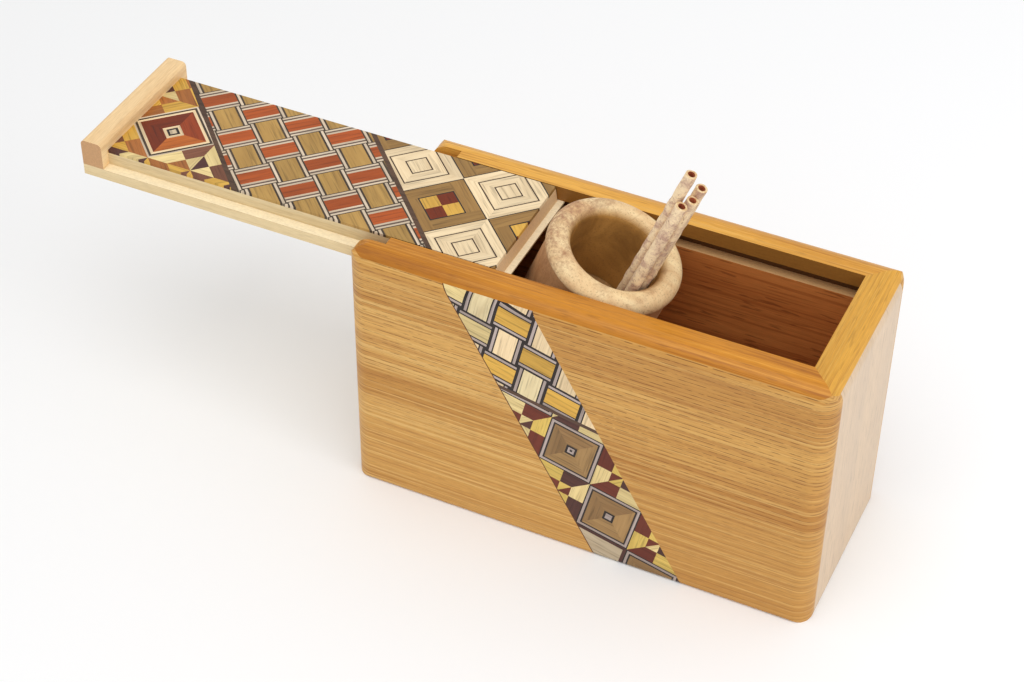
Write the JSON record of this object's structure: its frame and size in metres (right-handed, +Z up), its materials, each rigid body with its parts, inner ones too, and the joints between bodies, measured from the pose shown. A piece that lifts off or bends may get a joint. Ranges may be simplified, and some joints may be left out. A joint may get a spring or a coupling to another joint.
{
  "type": "wooden puzzle box",
  "caption": "Tall wooden trick box with a sliding marquetry lid; a cup of hollow reeds swings up out of it as the lid opens.",
  "frame": {"origin": "centre of the box's underside, on the surface it stands on", "axes": "+X to the closed end, the marquetry front faces -Y, +Z up"},
  "size_m": [0.2113, 0.055, 0.1115],
  "materials": {
    "marquetry": "satin lacquered mixed woods",
    "dark_strip": "satin dark wood",
    "veneer": "satin straight-grained wood",
    "board": "satin orange-gold wood",
    "lip": "satin orange-gold wood",
    "liner": "red-brown stained wood",
    "lid": "pale satin wood",
    "cup": "matte speckled hardwood",
    "reed": "matte dry reed",
    "inner_wood": "plain pale wood",
    "steel": "plain drawn wire"
  },
  "bodies": {
    "box": {"bottom_board": "board", "floor_liner": "liner", "front_wall": "board", "back_wall": "board", "right_end_wall": "board", "left_end_wall": "board", "front_veneer_left": "veneer", "front_veneer_band": "marquetry", "front_veneer_right": "veneer", "back_veneer": "veneer", "right_end_veneer": "veneer", "left_end_veneer": "veneer", "front_lip": "lip", "back_lip": "lip", "right_end_lip": "lip", "front_liner": "liner", "back_liner": "liner", "right_liner": "liner", "left_liner": "liner", "pivot_cheek_front": "inner_wood", "pivot_cheek_back": "inner_wood", "pivot_pin": "steel", "lift_spring": "steel", "cam_plate": "inner_wood"},
    "lid": {"lid_tongue": "lid", "lid_plate": "lid", "lid_crossbar": "lid", "lid_panel_left": "marquetry", "lid_strip_left": "dark_strip", "lid_panel_middle": "marquetry", "lid_strip_right": "dark_strip", "lid_panel_right": "marquetry", "stop_cleat": "inner_wood"},
    "cup": {"cup": "cup", "cup_foot": "inner_wood"},
    "reeds": {"reed_plug": "inner_wood", "push_rod": "inner_wood", "cross_pin": "steel", "reed_1": "reed", "reed_2": "reed", "reed_3": "reed", "reed_4": "reed"}
  },
  "joints": [
    {"name": "lid_slide", "type": "slide", "parent": "box", "child": "lid", "axis": [1, 0, 0], "range_m": [0, 0.083]},
    {"name": "cup_swing", "type": "hinge", "parent": "box", "child": "cup", "pos_m": [-0.01625, 0, 0.01226], "axis": [0, 1, 0], "range_deg": [0, 68.33]},
    {"name": "reed_slide", "type": "slide", "parent": "cup", "child": "reeds", "axis": [-0.3592, 0, -0.9333], "range_m": [0, 0.033]}
  ],
  "couplings": [
    {"joint": "cup_swing", "follows": "lid_slide", "rad_per_m": 14.368},
    {"joint": "reed_slide", "follows": "lid_slide", "ratio": 0.39759}
  ]
}
